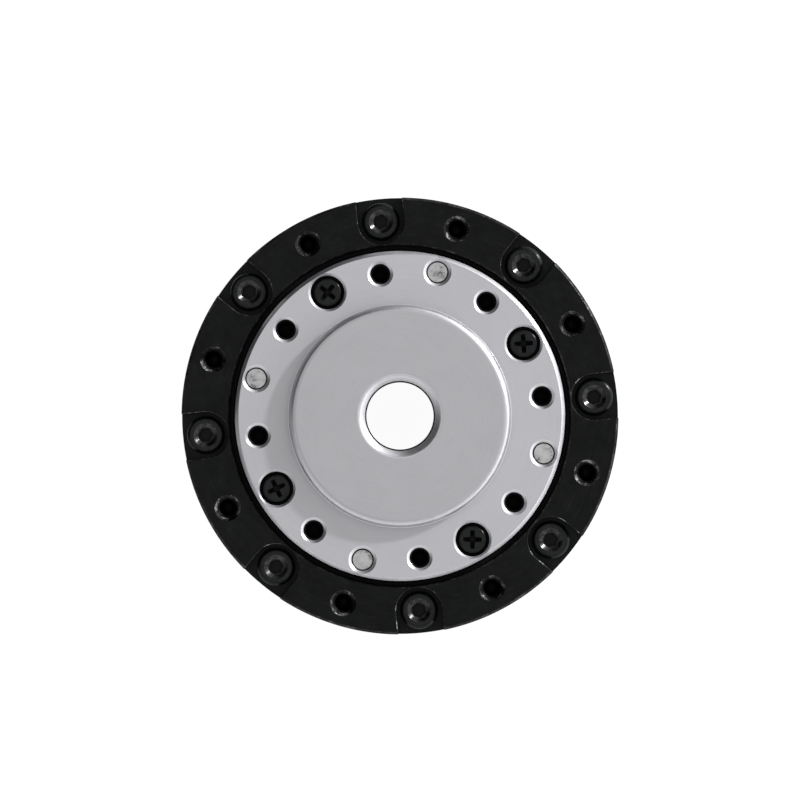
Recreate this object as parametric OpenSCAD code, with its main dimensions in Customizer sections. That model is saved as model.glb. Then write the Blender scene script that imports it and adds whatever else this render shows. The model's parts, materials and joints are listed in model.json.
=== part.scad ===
/* [Shaft] */
// Diameter of the bore through the shaft and the flange
bore_d = 10.5; // [9:0.1:11.5]
// Wall of the shaft between its bore and its journals
shaft_wall = 2.25; // [1.8:0.05:3]
// Throw of the eccentrics
eccentricity = 0.6; // [0.4:0.05:0.7]
// How far an eccentric stands out from the journal on its low side
eccentric_step = 0.4; // [0.2:0.05:0.8]
// How far the collar between the eccentrics stands out from them
collar_step = 0.2; // [0.1:0.05:0.3]
// Wall of the spacers on the journals
spacer_wall = 1.6; // [1.2:0.1:1.8]
// Length of the spacer in front of the eccentrics
front_spacer_t = 1.2; // [0.8:0.1:1.6]
// How far the shaft's nose is set back from the floor of the motor's pilot recess
nose_setback = 0.1; // [0.05:0.05:0.3]
// Width of the two drive slots in the shaft's nose
drive_slot_width = 3; // [2:0.25:4]
// Depth of the drive slots
drive_slot_depth = 1.5; // [1:0.1:1.6]

/* [Ball bearings] */
// Height of a journal bearing's section, from its bore to its rim
journal_section = 3; // [2.7:0.1:3.5]
// Width of the journal bearings
journal_bearing_width = 4; // [3.6:0.1:5]
// Diameter of a ball in the journal bearings
journal_ball_d = 1.6; // [1.4:0.05:1.8]
// Number of balls in a journal bearing
journal_ball_count = 17; // [12:1:18]
// Height of an eccentric bearing's section
eccentric_section = 4.5; // [4:0.1:5]
// Diameter of a ball in the eccentric bearings
eccentric_ball_d = 2.4; // [2:0.1:2.6]
// Number of balls in an eccentric bearing
eccentric_ball_count = 15; // [10:1:16]

/* [Cycloid stage] */
// Thickness of a disc and width of the bearing inside it
disc_t = 5; // [4.5:0.1:6]
// Gap between the discs, and between a disc and its neighbours
disc_gap = 0.5; // [0.3:0.05:0.8]
// Web of a disc between its bore and its roller holes
disc_web = 1.85; // [1.5:0.05:3]
// Rim of a disc between its roller holes and the valleys of its lobes
disc_rim = 1.7; // [1.2:0.05:3]
// Chamfer on a disc's bore and roller holes
disc_chamfer = 0.2; // [0.1:0.05:0.3]
// Number of pins in the ring gear, one more than a disc has lobes
ring_pin_count = 26; // [22:2:28]
// Diameter of a ring gear pin
ring_pin_d = 3; // [2.6:0.1:3.3]

/* [Output pins] */
// Number of output pins
output_pin_count = 8; // [6:1:8]
// Diameter of an output pin
output_pin_d = 3; // [2.5:0.1:3.3]
// Wall of the rollers on the output pins
roller_wall = 0.95; // [0.8:0.05:1.1]
// How far the output pins reach into the flange
output_pin_reach = 3; // [2:0.1:4]
// Thickness of the ring that joins the pins' rear ends
support_t = 2.2; // [1.8:0.1:3]
// Wall of that ring beside the pins
support_wall = 2; // [1.6:0.1:2.2]

/* [Main bearing] */
// Width of the main bearing's outer ring
main_bearing_width = 5; // [4.5:0.1:5.5]
// Diameter of a crossed roller
cross_roller_d = 1.5; // [1.4:0.05:1.6]
// Number of crossed rollers
cross_roller_count = 84; // [60:2:90]
// Gap between the inner and outer rings of the main bearing
main_land_gap = 0.7; // [0.6:0.05:0.8]

/* [Output flange] */
// Thickness of the carrier behind the flange
carrier_t = 3.9; // [3.5:0.1:5]
// Thickness of the flange in front of the shaft's end
flange_web = 3.5; // [3:0.1:5]
// How far the flange's face stands in front of the housing's
face_step = 1; // [0.5:0.1:1.5]
// Gap between the flange's rim and the front ring
flange_gap = 0.9; // [0.8:0.05:1.1]
// Chamfer on the flange's edge
flange_chamfer = 0.7; // [0.3:0.05:0.8]
// Diameter of the raised boss
boss_d = 33.5; // [30:0.1:36]
// Height of the raised boss
boss_h = 2.3; // [1.5:0.1:4]
// Chamfer on the boss
boss_chamfer = 1; // [0.3:0.1:1.2]
// Chamfer at the mouth of the bore
bore_chamfer = 1.1; // [0.3:0.1:1.3]
// Number of tapped holes in the flange, with half as many screws and half as many dowels between
flange_hole_count = 8; // [8:4:8]
// Depth of the tapped holes in the flange
flange_tap_depth = 6; // [4:0.5:6.5]
// Angle from the first housing screw to the flange's first tapped hole, at rest
flange_rest_angle = 2.3; // [-6:0.1:6]
// Wall between the flange screws' counterbores and the flange's rim
counterbore_wall = 0.85; // [0.6:0.05:1.2]
// Diameter of a dowel in the flange
flange_dowel_d = 3; // [2.5:0.1:3.1]
// Wall between the dowels and the flange's rim
dowel_wall = 1; // [0.95:0.05:1.4]
// How far the dowels reach into the carrier
flange_dowel_reach = 1.8; // [1:0.1:1.9]

/* [Housing] */
// Wall of the ring gear housing outside the pins, and of the step that centres the front ring
pin_wall = 0.5; // [0.4:0.05:1]
// Wall between the main bearing's seat and the housing screws
seat_wall = 0.8; // [0.7:0.05:1.5]
// Wall between the housing screws and the outside
rim_wall = 1.8; // [1.5:0.1:3]
// Height of the step that centres the front ring
register_h = 1.2; // [0.8:0.1:1.4]
// Thickness of the front ring between its bearing seat and the pocket floors
pocket_floor = 1.3; // [1:0.1:1.6]
// Gap between a screw head and the wall of its pocket
pocket_gap = 0.65; // [0.4:0.05:0.8]
// Wall between the pockets and the ring's inner edge
pocket_wall = 0.2; // [0.15:0.05:0.4]
// Number of housing screws, and of tapped holes between them
housing_screw_count = 8; // [4:2:8]
// Depth of the tapped holes in the front ring
front_tap_depth = 7; // [4:0.5:8]
// Depth of the tapped holes in the rear cover
rear_tap_depth = 5; // [3:0.5:6]
// Chamfer on the housing's front and rear edges
housing_chamfer = 0.4; // [0.2:0.1:0.8]
// Running gap in front of the rear cover
running_gap = 0.5; // [0.3:0.05:0.8]

/* [Motor side] */
// Depth of the motor's pilot recess in the rear face
pilot_depth = 2; // [1.9:0.1:2.4]
// Diameter of the pilot recess
pilot_d = 46; // [42:0.5:50]
// Diameter of the motor's bolt circle
motor_pcd = 33; // [30:0.5:36]
// Number of tapped holes for the motor
motor_hole_count = 4; // [3:1:6]
// Depth of the tapped holes for the motor
motor_tap_depth = 4; // [3:0.1:4.4]
// Thickness of the lip behind the rear bearing, which holds the input seal
rear_lip_t = 1.2; // [1:0.1:1.6]
// Height of the input seal's section
input_seal_section = 1.7; // [1.5:0.1:2]

/* [Screws] */
// Thread diameter of the housing screws and of every open tapped hole
screw_d = 3; // [2.5:0.1:3.2]
// Head diameter of a housing screw
screw_head_d = 5.7; // [5.3:0.1:5.9]
// Head height of a housing screw
screw_head_h = 1.65; // [1.4:0.05:1.9]
// Width across the flats of the hexagon socket
screw_socket = 2; // [1.5:0.1:2.2]
// Length of thread that a housing screw has in the rear cover
screw_grip = 3.1; // [2.5:0.1:4.5]
// Thread diameter of a flange screw
flange_screw_d = 2.5; // [2:0.1:2.7]
// Head diameter of a flange screw
flange_screw_head_d = 4.5; // [4:0.1:4.8]
// Head height of a flange screw
flange_screw_head_h = 1.7; // [1.4:0.05:1.9]
// Length of thread that a flange screw has in the carrier
flange_screw_grip = 2.5; // [2:0.1:3.5]
// Room round a flange screw where it passes through the flange
flange_screw_fit = 0.1; // [0.05:0.05:0.15]
// Gap between a flange screw's head and its counterbore
counterbore_gap = 0.2; // [0.1:0.05:0.4]

/* [Fits] */
// Room between a ball or roller and its race
race_clearance = 0.05; // [0.04:0.01:0.08]
// Room between the cycloid lobes and the pins
lobe_clearance = 0.05; // [0.05:0.01:0.08]
// Room between a roller and its pin, and between a disc's holes and the rollers
roller_clearance = 0.05; // [0.04:0.01:0.08]
// Room between a seal and what turns in it
seal_clearance = 0.06; // [0.05:0.01:0.1]
// Room round a piece that is pressed or set into a seat
seat_fit = 0.02; // [0.01:0.01:0.03]
// Room between a plain modelled thread and its hole
thread_fit = 0.05; // [0.03:0.01:0.08]
// Room round a screw that passes through
through_fit = 0.2; // [0.1:0.05:0.3]

/* [Hidden] */
$fn = 96;

// how far a cut runs past the face that it opens
past = 1;
// points along each lobe of a cycloid disc
lobe_points = 24;
// depth of the cone that a drill leaves, as a share of the hole's radius
drill_cone = 0.6;
// chamfers at the mouths of tapped holes, dowel holes and counterbores
tapped_chamfer = 0.35;
dowel_chamfer = 0.6;
counterbore_chamfer = 0.4;
// small broken edges on bearing rings, pins, shafts and the housing's joints
edge_break = 0.2;
// small gaps along the axis: behind a bearing, beside a seal, at the shaft's end, under a screw's tip
bearing_setback = 0.3;
seal_gap = 0.4;
shaft_end_gap = 0.3;
screw_end_gap = 0.4;
// how far a cage stays inside its bearing's faces, and its rim beside the ball pockets
cage_setback = 0.3;
cage_bar = 0.5;
// width of the shoulder that stops the front bearing
bearing_stop = 1;
// thickness of the seal between the shaft and the flange
shaft_seal_t = 2;
// how far the output seal lies below the housing's face
seal_sink = 1.9;
// room between the discs' furthest reach and the wall of the ring gear housing
cavity_slack = 0.2;
// room between the carrier and the ring gear pins
pin_room = 0.3;
// dowels between the rear cover and the ring gear housing
housing_dowel_d = 2;
housing_dowel_reach = 3;

// radii, from the shaft outward
journal_r = bore_d / 2 + shaft_wall;
eccentric_r = journal_r + eccentricity + eccentric_step;
collar_r = eccentric_r + eccentricity + collar_step;
spacer_r = journal_r + spacer_wall;
journal_bearing_r = journal_r + journal_section;
eccentric_bearing_r = eccentric_r + eccentric_section;
shaft_seal_r = journal_bearing_r - bearing_stop;
input_opening_r = journal_r + input_seal_section;
output_pin_r = output_pin_d / 2;
roller_r = output_pin_r + roller_clearance + roller_wall;
disc_hole_r = roller_r + eccentricity + roller_clearance;
output_circle = eccentric_bearing_r + disc_web + disc_hole_r;
pin_r = ring_pin_d / 2;
ring_pin_circle = output_circle + disc_hole_r + disc_rim + eccentricity + lobe_clearance + pin_r;
cavity_r = ring_pin_circle - pin_r - lobe_clearance + 2 * eccentricity + cavity_slack;
seat_r = ring_pin_circle + pin_r + pin_wall;
tapped_r = screw_d / 2 + thread_fit;
through_r = screw_d / 2 + through_fit;
bolt_circle = seat_r + seat_wall + through_r;
housing_r = bolt_circle + through_r + rim_wall;
pocket_r = screw_head_d / 2 + pocket_gap;
lip_r = bolt_circle - pocket_r - pocket_wall;
flange_r = lip_r - flange_gap;
counterbore_r = flange_screw_head_d / 2 + counterbore_gap;
flange_circle = flange_r - counterbore_wall - counterbore_r;
dowel_circle = flange_r - dowel_wall - flange_dowel_d / 2;
rear_circle = (pilot_d / 2 + housing_r) / 2;
main_pitch = flange_r + main_land_gap / 2;
main_outer_land = flange_r + main_land_gap;
// half the diagonal of the square race that the crossed rollers run in
race_half = (cross_roller_d / 2 + race_clearance) * sqrt(2);

// the axial stack, from the rear face at zero
z_nose = pilot_depth + nose_setback;
z_rear_bearing = pilot_depth + rear_lip_t;
z_cover = z_rear_bearing + journal_bearing_width + bearing_setback;
z_support = z_cover + running_gap;
z_disc_a = z_support + support_t + disc_gap;
z_disc_b = z_disc_a + disc_t + disc_gap;
z_discs_end = z_disc_b + disc_t;
z_carrier = z_discs_end + disc_gap;
z_front_bearing = z_discs_end + front_spacer_t;
z_front_bearing_end = z_front_bearing + journal_bearing_width;
z_split = z_carrier + carrier_t;
z_main = z_split - main_bearing_width / 2;
z_main_end = z_main + main_bearing_width;
z_register = z_main - register_h;
z_pocket = z_main_end + pocket_floor;
z_shaft_seal = z_front_bearing_end + seal_gap;
z_shaft_seal_end = z_shaft_seal + shaft_seal_t;
z_shaft_end = z_shaft_seal_end + seal_gap;
z_web = z_shaft_end + shaft_end_gap;
z_flange_face = z_web + flange_web;
z_ring_face = z_flange_face - face_step;
z_boss = z_flange_face + boss_h;
z_counterbore = z_flange_face - flange_screw_head_h - counterbore_gap;
z_screw_tip = z_cover - screw_grip;
z_flange_screw_tip = z_split - flange_screw_grip;

// angles from +X
front_tap_angle = 180 / housing_screw_count;
housing_dowel_angle = 90 / housing_screw_count;
motor_angle = 45;
flange_screw_angle = flange_rest_angle + 180 / flange_hole_count;
flange_dowel_angle = flange_screw_angle + 360 / flange_hole_count;
output_phase = flange_rest_angle + 90 / flange_hole_count;

// ---------- shared shapes ----------

module around(count, radius, start = 0) {
    for (i = [0 : count - 1])
        rotate(start + i * 360 / count) translate([radius, 0, 0]) children();
}

// a tube with a small chamfer on each of its four edges
module tube(r_in, r_out, z0, h, edge = edge_break) {
    rotate_extrude()
        polygon([
            [r_in + edge, z0], [r_out - edge, z0], [r_out, z0 + edge], [r_out, z0 + h - edge],
            [r_out - edge, z0 + h], [r_in + edge, z0 + h], [r_in, z0 + h - edge], [r_in, z0 + edge]
        ]);
}

// a pin with chamfered ends
module rod(r, z0, h, edge = edge_break) {
    rotate_extrude()
        polygon([
            [0, z0], [r - edge, z0], [r, z0 + edge],
            [r, z0 + h - edge], [r - edge, z0 + h], [0, z0 + h]
        ]);
}

// a blind hole cut down from z = 0, with a chamfered mouth and a drill's cone at the bottom
module blind_hole(r, depth, chamfer) {
    translate([0, 0, -depth]) cylinder(r = r, h = depth + past);
    translate([0, 0, -depth - r * drill_cone]) cylinder(r1 = 0, r2 = r, h = r * drill_cone);
    translate([0, 0, -chamfer]) cylinder(r1 = r, r2 = r + chamfer + past, h = chamfer + past);
}

// ---------- housing ----------

module rear_cover() {
    bearing_r = journal_bearing_r + seat_fit;
    color([0.07, 0.07, 0.08])
    difference() {
        rotate_extrude()
            polygon([
                [pilot_d / 2, 0], [housing_r - housing_chamfer, 0], [housing_r, housing_chamfer],
                [housing_r, z_cover - edge_break], [housing_r - edge_break, z_cover], [bearing_r, z_cover],
                [bearing_r, z_rear_bearing], [input_opening_r, z_rear_bearing],
                [input_opening_r, pilot_depth], [pilot_d / 2, pilot_depth]
            ]);
        around(housing_screw_count, bolt_circle)
            translate([0, 0, z_screw_tip - screw_end_gap]) cylinder(r = tapped_r, h = z_cover);
        around(2, bolt_circle, housing_dowel_angle)
            translate([0, 0, z_cover - housing_dowel_reach])
                cylinder(r = housing_dowel_d / 2 + seat_fit, h = z_cover);
        mirror([0, 0, 1])
            around(housing_screw_count, rear_circle, front_tap_angle)
                blind_hole(tapped_r, rear_tap_depth, tapped_chamfer);
        translate([0, 0, pilot_depth]) mirror([0, 0, 1])
            around(motor_hole_count, motor_pcd / 2, motor_angle)
                blind_hole(tapped_r, motor_tap_depth, tapped_chamfer);
    }
}

module ring_gear_housing() {
    edge = edge_break;
    color([0.07, 0.07, 0.08])
    difference() {
        rotate_extrude()
            polygon([
                [cavity_r, z_cover], [housing_r - edge, z_cover], [housing_r, z_cover + edge],
                [housing_r, z_register - edge], [housing_r - edge, z_register], [seat_r, z_register],
                [seat_r, z_main], [cavity_r, z_main]
            ]);
        around(ring_pin_count, ring_pin_circle)
            translate([0, 0, z_cover - past]) cylinder(r = pin_r + seat_fit, h = z_main - z_cover + 2 * past);
        around(housing_screw_count, bolt_circle)
            translate([0, 0, z_cover - past]) cylinder(r = through_r, h = z_main - z_cover + 2 * past);
        around(2, bolt_circle, housing_dowel_angle)
            translate([0, 0, z_cover - past])
                cylinder(r = housing_dowel_d / 2 + seat_fit, h = housing_dowel_reach + past);
    }
}

module front_ring() {
    edge = housing_chamfer;
    seat = seat_r + seat_fit;
    depth = z_ring_face - z_pocket;
    color([0.07, 0.07, 0.08])
    difference() {
        rotate_extrude()
            polygon([
                [seat, z_register], [housing_r - edge_break, z_register],
                [housing_r, z_register + edge_break], [housing_r, z_ring_face - edge],
                [housing_r - edge, z_ring_face], [lip_r + edge_break, z_ring_face],
                [lip_r, z_ring_face - edge_break], [lip_r, z_main_end], [seat, z_main_end]
            ]);
        around(housing_screw_count, bolt_circle) {
            translate([0, 0, z_register - past]) cylinder(r = through_r, h = z_ring_face - z_register);
            translate([0, 0, z_pocket]) cylinder(r = pocket_r, h = depth + past);
            translate([0, -pocket_r, z_pocket]) cube([housing_r, 2 * pocket_r, depth + past]);
        }
        translate([0, 0, z_ring_face])
            around(housing_screw_count, bolt_circle, front_tap_angle)
                blind_hole(tapped_r, front_tap_depth, tapped_chamfer);
    }
}

// button head screws with hexagon sockets, heads resting on the pocket floors
module housing_screws() {
    rim_h = 0.35;
    crown_r = screw_socket * 0.8;
    head_r = screw_head_d / 2;
    rise = screw_head_h - rim_h;
    drop = (head_r * head_r - crown_r * crown_r - rise * rise) / (2 * rise);
    socket_depth = screw_head_h * 0.65;
    color([0.06, 0.06, 0.06])
    translate([0, 0, z_pocket])
        around(housing_screw_count, bolt_circle) {
            difference() {
                rotate_extrude() intersection() {
                    square([head_r, screw_head_h]);
                    translate([0, rim_h - drop]) circle(r = norm([head_r, drop]));
                }
                translate([0, 0, screw_head_h - socket_depth])
                    cylinder(d = screw_socket / cos(30), h = socket_depth + past, $fn = 6);
            }
            rod(screw_d / 2, z_screw_tip - z_pocket, z_pocket - z_screw_tip);
        }
}

module housing_dowels() {
    end_gap = 0.2;
    color("silver")
    around(2, bolt_circle, housing_dowel_angle)
        rod(housing_dowel_d / 2, z_cover - housing_dowel_reach + end_gap,
            2 * (housing_dowel_reach - end_gap));
}

module ring_pins() {
    end_gap = 0.1;
    color("silver")
    around(ring_pin_count, ring_pin_circle)
        rod(pin_r, z_cover, z_main - z_cover - end_gap);
}

// ---------- main bearing ----------

module main_bearing_outer_ring() {
    land = main_outer_land;
    reach = main_pitch + race_half - land;
    color("silver")
    rotate_extrude()
        polygon([
            [land, z_main], [seat_r - edge_break, z_main], [seat_r, z_main + edge_break],
            [seat_r, z_main_end - edge_break], [seat_r - edge_break, z_main_end], [land, z_main_end],
            [land, z_split + reach], [land + reach, z_split], [land, z_split - reach]
        ]);
}

// rollers laid alternately one way and the other across the race
module main_bearing_rollers() {
    end_room = 0.05;
    length = cross_roller_d - 2 * end_room;
    color("silver")
    for (i = [0 : cross_roller_count - 1])
        rotate(i * 360 / cross_roller_count) translate([main_pitch, 0, z_split])
            rotate([0, i % 2 == 0 ? 45 : -45, 0])
                translate([0, 0, -length / 2]) rod(cross_roller_d / 2, 0, length, end_room);
}

// rubber ring with two lips on the flange's rim
module output_seal() {
    inner = flange_r + seal_clearance;
    outer = lip_r - seat_fit;
    lip = (outer - inner) * 0.3;
    height = z_ring_face - seal_sink - z_main_end;
    color([0.03, 0.03, 0.03])
    rotate_extrude()
        polygon([
            [outer, z_main_end], [outer, z_main_end + height], [inner + lip, z_main_end + height],
            [inner, z_main_end + height * 0.9], [inner + lip, z_main_end + height * 0.6],
            [inner + lip, z_main_end + height * 0.4], [inner, z_main_end + height * 0.1],
            [inner + lip, z_main_end]
        ]);
}

// ---------- output ----------

module output_flange() {
    groove = race_half - main_land_gap / 2;
    pocket = journal_bearing_r + seat_fit;
    bore_r = bore_d / 2;
    end_r = journal_r + shaft_end_gap;
    color([0.78, 0.78, 0.79])
    difference() {
        rotate_extrude()
            polygon([
                [pocket, z_split], [flange_r - groove, z_split], [flange_r, z_split + groove],
                [flange_r, z_flange_face - flange_chamfer], [flange_r - flange_chamfer, z_flange_face],
                [boss_d / 2, z_flange_face], [boss_d / 2, z_boss - boss_chamfer],
                [boss_d / 2 - boss_chamfer, z_boss], [bore_r + bore_chamfer, z_boss],
                [bore_r, z_boss - bore_chamfer], [bore_r, z_web], [end_r, z_web], [end_r, z_shaft_seal_end],
                [shaft_seal_r, z_shaft_seal_end], [shaft_seal_r, z_front_bearing_end],
                [pocket, z_front_bearing_end]
            ]);
        translate([0, 0, z_flange_face])
            around(flange_hole_count, flange_circle, flange_rest_angle)
                blind_hole(tapped_r, flange_tap_depth, tapped_chamfer);
        around(flange_hole_count / 2, flange_circle, flange_screw_angle) {
            translate([0, 0, z_split - past])
                cylinder(r = flange_screw_d / 2 + flange_screw_fit, h = z_counterbore - z_split + 2 * past);
            translate([0, 0, z_counterbore])
                cylinder(r = counterbore_r, h = z_flange_face - z_counterbore + past);
            mouth(counterbore_r, counterbore_chamfer);
        }
        around(flange_hole_count / 2, dowel_circle, flange_dowel_angle) {
            translate([0, 0, z_split - past])
                cylinder(r = flange_dowel_d / 2 + seat_fit, h = z_flange_face - z_split + 2 * past);
            mouth(flange_dowel_d / 2 + seat_fit, dowel_chamfer);
        }
        around(output_pin_count, output_circle, output_phase)
            translate([0, 0, z_split - past])
                cylinder(r = output_pin_r + seat_fit, h = output_pin_reach + past);
    }
}

// a chamfer at the mouth of a hole in the flange's face
module mouth(r, chamfer) {
    translate([0, 0, z_flange_face - chamfer]) cylinder(r1 = r, r2 = r + chamfer + past, h = chamfer + past);
}

// cross recessed pan head screws that clamp the flange to the carrier
module flange_screws() {
    head_r = flange_screw_head_d / 2;
    crown = flange_screw_head_h * 0.6;
    slot_w = flange_screw_head_d * 0.16;
    slot_l = flange_screw_head_d * 0.52;
    slot_depth = flange_screw_head_h * 0.6;
    color([0.06, 0.06, 0.06])
    around(flange_hole_count / 2, flange_circle, flange_screw_angle) {
        translate([0, 0, z_counterbore]) difference() {
            rotate_extrude() {
                square([head_r, flange_screw_head_h - crown]);
                translate([0, flange_screw_head_h - crown]) intersection() {
                    union() {
                        square([head_r - crown, crown]);
                        translate([head_r - crown, 0]) circle(r = crown);
                    }
                    square([head_r, crown]);
                }
            }
            for (turn = [0, 90])
                rotate(turn) translate([-slot_l / 2, -slot_w / 2, flange_screw_head_h - slot_depth])
                    cube([slot_l, slot_w, slot_depth + past]);
        }
        rod(flange_screw_d / 2, z_flange_screw_tip, z_counterbore - z_flange_screw_tip);
    }
}

module flange_dowels() {
    start = z_split - flange_dowel_reach + 0.1;
    sink = 0.3;
    color("silver")
    around(flange_hole_count / 2, dowel_circle, flange_dowel_angle)
        rod(flange_dowel_d / 2, start, z_flange_face - sink - start);
}

module carrier() {
    groove = race_half - main_land_gap / 2;
    waist = ring_pin_circle - pin_r - pin_room;
    shoulder = z_main + pin_room;
    pocket = journal_bearing_r + seat_fit;
    color([0.6, 0.6, 0.62])
    difference() {
        rotate_extrude()
            polygon([
                [pocket, z_carrier], [waist, z_carrier], [waist, shoulder], [flange_r, shoulder],
                [flange_r, z_split - groove], [flange_r - groove, z_split], [pocket, z_split]
            ]);
        translate([0, 0, z_carrier - past]) {
            around(output_pin_count, output_circle, output_phase)
                cylinder(r = output_pin_r + seat_fit, h = carrier_t + 2 * past);
            around(flange_hole_count / 2, flange_circle, flange_screw_angle)
                cylinder(r = flange_screw_d / 2 + thread_fit, h = carrier_t + 2 * past);
        }
        around(flange_hole_count / 2, dowel_circle, flange_dowel_angle)
            translate([0, 0, z_split - flange_dowel_reach])
                cylinder(r = flange_dowel_d / 2 + seat_fit, h = flange_dowel_reach + past);
    }
}

module output_pins() {
    end_gap = 0.2;
    color("silver")
    around(output_pin_count, output_circle, output_phase)
        rod(output_pin_r, z_support, z_split + output_pin_reach - end_gap - z_support);
}

// one roller on each output pin, running in both discs
module output_roller(i) {
    end_gap = 0.15;
    color([0.75, 0.6, 0.3])
    rotate(output_phase + (i - 1) * 360 / output_pin_count) translate([output_circle, 0, 0])
        tube(output_pin_r + roller_clearance, roller_r,
             z_support + support_t + end_gap, z_carrier - z_support - support_t - 2 * end_gap);
}

module pin_support_ring() {
    color([0.6, 0.6, 0.62])
    difference() {
        tube(output_circle - output_pin_r - support_wall, output_circle + output_pin_r + support_wall,
             z_support, support_t);
        around(output_pin_count, output_circle, output_phase)
            translate([0, 0, z_support - past])
                cylinder(r = output_pin_r + seat_fit, h = support_t + 2 * past);
    }
}

// ---------- cycloid discs ----------

// centre of a ring pin, seen from a disc that has rolled by t degrees
function pin_path(t) = [
    ring_pin_circle * cos(t) - eccentricity * cos(ring_pin_count * t),
    ring_pin_circle * sin(t) - eccentricity * sin(ring_pin_count * t)
];

// the way that path runs at t, as a vector of any length
function pin_heading(t) = [
    -ring_pin_circle * sin(t) + ring_pin_count * eccentricity * sin(ring_pin_count * t),
    ring_pin_circle * cos(t) - ring_pin_count * eccentricity * cos(ring_pin_count * t)
];

// the lobed edge: the path moved inward by the pin's radius and the clearance
function lobe_edge(t) =
    let (heading = pin_heading(t), inward = [-heading[1], heading[0]] / norm(heading))
    pin_path(t) + (pin_r + lobe_clearance) * inward;

module cycloid_disc(z0) {
    lobes = ring_pin_count - 1;
    steps = lobes * lobe_points;
    translate([eccentricity, 0, z0]) difference() {
        linear_extrude(disc_t) polygon([for (i = [0 : steps - 1]) lobe_edge(i * 360 / steps)]);
        disc_hole(eccentric_bearing_r + seat_fit);
        around(output_pin_count, output_circle, output_phase) disc_hole(disc_hole_r);
    }
}

// a hole through a disc, chamfered on both faces
module disc_hole(r) {
    translate([0, 0, -past]) cylinder(r = r, h = disc_t + 2 * past);
    for (side = [0, 1])
        translate([0, 0, side * disc_t]) mirror([0, 0, side]) translate([0, 0, -past])
            cylinder(r1 = r + disc_chamfer + past, r2 = r, h = disc_chamfer + past);
}

module cycloid_disc_a() {
    color([0.55, 0.56, 0.58]) cycloid_disc(z_disc_a);
}

module cycloid_disc_b() {
    color([0.45, 0.46, 0.48]) rotate(180) cycloid_disc(z_disc_b);
}

// ---------- shaft ----------

module eccentric_shaft() {
    color([0.65, 0.65, 0.67])
    difference() {
        union() {
            rod(journal_r, z_nose, z_shaft_end - z_nose);
            translate([eccentricity, 0, z_disc_a]) cylinder(r = eccentric_r, h = disc_t);
            translate([0, 0, z_disc_a + disc_t]) cylinder(r = collar_r, h = disc_gap);
            translate([-eccentricity, 0, z_disc_b]) cylinder(r = eccentric_r, h = disc_t);
        }
        translate([0, 0, z_nose - past]) cylinder(d = bore_d, h = z_shaft_end - z_nose + 2 * past);
        translate([-housing_r, -drive_slot_width / 2, z_nose - past])
            cube([2 * housing_r, drive_slot_width, drive_slot_depth + past]);
    }
}

module rear_spacer() {
    start = z_rear_bearing + journal_bearing_width;
    color("silver") tube(journal_r + seat_fit, spacer_r, start, z_disc_a - start);
}

module front_spacer() {
    color("silver") tube(journal_r + seat_fit, spacer_r, z_discs_end, front_spacer_t);
}

module input_seal() {
    color([0.03, 0.03, 0.03])
        lip_seal(journal_r + seal_clearance, input_opening_r - seat_fit, pilot_depth, rear_lip_t);
}

module shaft_seal() {
    color([0.03, 0.03, 0.03])
        lip_seal(journal_r + seal_clearance, shaft_seal_r - seat_fit, z_shaft_seal, shaft_seal_t);
}

// a rubber ring whose inner side narrows to one lip
module lip_seal(r_in, r_out, z0, h) {
    waist = (r_out - r_in) * 0.35;
    rotate_extrude()
        polygon([
            [r_in + waist, z0], [r_out, z0], [r_out, z0 + h], [r_in + waist, z0 + h],
            [r_in + waist, z0 + h * 0.8], [r_in, z0 + h * 0.5], [r_in + waist, z0 + h * 0.3]
        ]);
}

// ---------- ball bearings ----------

// a bearing is [bore radius, outer radius, width, ball radius, number of balls]
journal_bearing = [journal_r + seat_fit, journal_bearing_r, journal_bearing_width,
                   journal_ball_d / 2, journal_ball_count];
eccentric_bearing = [eccentric_r + seat_fit, eccentric_bearing_r, disc_t,
                     eccentric_ball_d / 2, eccentric_ball_count];

function pitch_of(b) = (b[0] + b[1]) / 2;
// half the open space between the shoulders of the two rings
function shoulder_of(b) = b[3] * 0.65;

module race_groove(b) {
    translate([pitch_of(b), b[2] / 2]) circle(r = b[3] + race_clearance);
}

module inner_ring(b) {
    edge = edge_break;
    shoulder = pitch_of(b) - shoulder_of(b);
    color("silver") rotate_extrude() difference() {
        polygon([[b[0] + edge, 0], [shoulder, 0], [shoulder, b[2]], [b[0] + edge, b[2]],
                 [b[0], b[2] - edge], [b[0], edge]]);
        race_groove(b);
    }
}

module outer_ring(b) {
    edge = edge_break;
    shoulder = pitch_of(b) + shoulder_of(b);
    color("silver") rotate_extrude() difference() {
        polygon([[shoulder, 0], [b[1] - edge, 0], [b[1], edge], [b[1], b[2] - edge],
                 [b[1] - edge, b[2]], [shoulder, b[2]]]);
        race_groove(b);
    }
}

module balls(b) {
    color("silver") translate([0, 0, b[2] / 2]) around(b[4], pitch_of(b)) sphere(r = b[3]);
}

// a window cage with a round pocket for each ball
module cage(b) {
    wall = shoulder_of(b) * 0.65;
    pocket_r = b[3] + race_clearance * 1.5;
    height = min(b[2] - 2 * cage_setback, 2 * (pocket_r + cage_bar));
    color([0.75, 0.6, 0.3])
    difference() {
        tube(pitch_of(b) - wall, pitch_of(b) + wall, (b[2] - height) / 2, height, edge_break / 2);
        translate([0, 0, b[2] / 2]) around(b[4], pitch_of(b))
            rotate([0, 90, 0]) translate([0, 0, -b[3]]) cylinder(r = pocket_r, h = 2 * b[3]);
    }
}

// what each ball bearing is called, its sizes, and where its rear face is centred
BEARINGS = [
    ["rear", journal_bearing, [0, 0, z_rear_bearing]],
    ["front", journal_bearing, [0, 0, z_front_bearing]],
    ["eccentric_a", eccentric_bearing, [eccentricity, 0, z_disc_a]],
    ["eccentric_b", eccentric_bearing, [-eccentricity, 0, z_disc_b]]
];

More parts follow.
